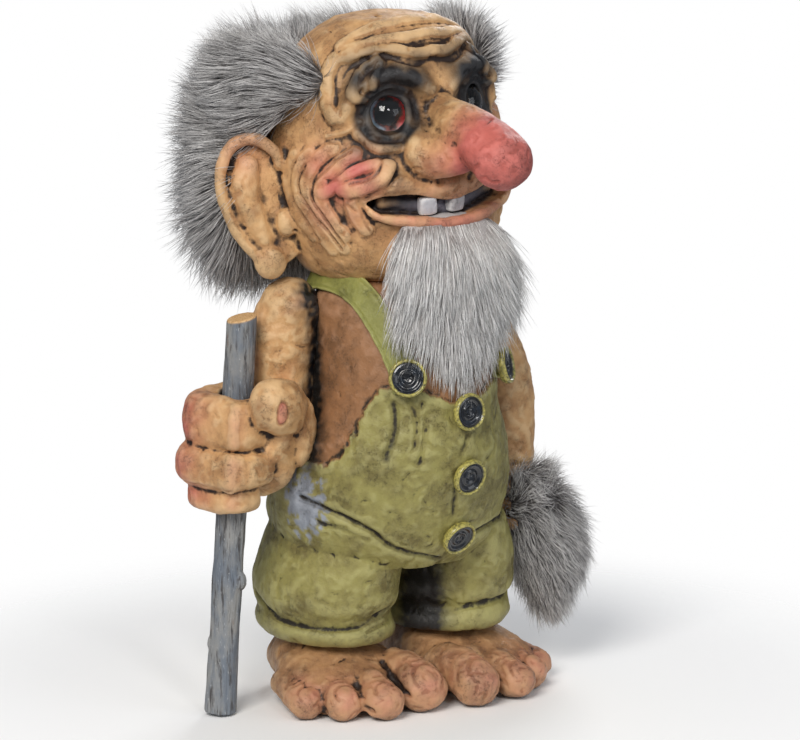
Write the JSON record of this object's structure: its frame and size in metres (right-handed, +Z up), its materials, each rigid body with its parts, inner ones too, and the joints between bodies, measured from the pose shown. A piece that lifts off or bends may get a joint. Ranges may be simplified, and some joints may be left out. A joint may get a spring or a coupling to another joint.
{
  "type": "folk troll figure",
  "caption": "Standing long-nosed folk figure in painted dungarees, with fur hair and beard, gripping a natural twig staff that lifts through its fist.",
  "frame": {"origin": "On the ground plane, under the middle of the figure's outline seen from above", "axes": "+Z up, the figure faces -Y, its right hand with the staff is at -X"},
  "size_m": [0.2306, 0.1916, 0.3435],
  "materials": {
    "latex_skin": "matte ochre paint with a brown wash",
    "painted_dungarees": "matte olive paint, worn",
    "painted_brace": "matte olive paint",
    "foam": "open foam",
    "eye_glass": "polished",
    "iris_paint": "gloss enamel",
    "tooth_white": "satin",
    "twig_wood": "bark",
    "grey_fur": "long pile",
    "white_fur": "long pile",
    "button_gloss": "gloss with a worn olive rim"
  },
  "bodies": {
    "figure": {"torso_casting": "painted_dungarees", "torso_core": "foam", "right_foot": "latex_skin", "left_foot": "latex_skin", "head_casting": "latex_skin", "head_core": "foam", "right_eye": "eye_glass", "left_eye": "eye_glass", "right_iris": "iris_paint", "left_iris": "iris_paint", "right_tooth": "tooth_white", "left_tooth": "tooth_white", "right_arm": "latex_skin", "right_fist": "latex_skin", "left_arm": "latex_skin", "left_hand": "latex_skin", "tail": "latex_skin", "tail_tuft": "grey_fur", "hair_pelt": "grey_fur", "beard_pelt": "white_fur", "right_brace": "painted_brace", "left_brace": "painted_brace", "right_brace_button": "button_gloss", "left_brace_button": "button_gloss", "front_button_top": "button_gloss", "front_button_middle": "button_gloss", "front_button_bottom": "button_gloss"},
    "walking_staff": {"staff": "twig_wood"}
  },
  "joints": [
    {"name": "staff_lift", "type": "slide", "parent": "figure", "child": "walking_staff", "axis": [0.0497, -0.0397, 0.998], "range_m": [0, 0.026]}
  ]
}
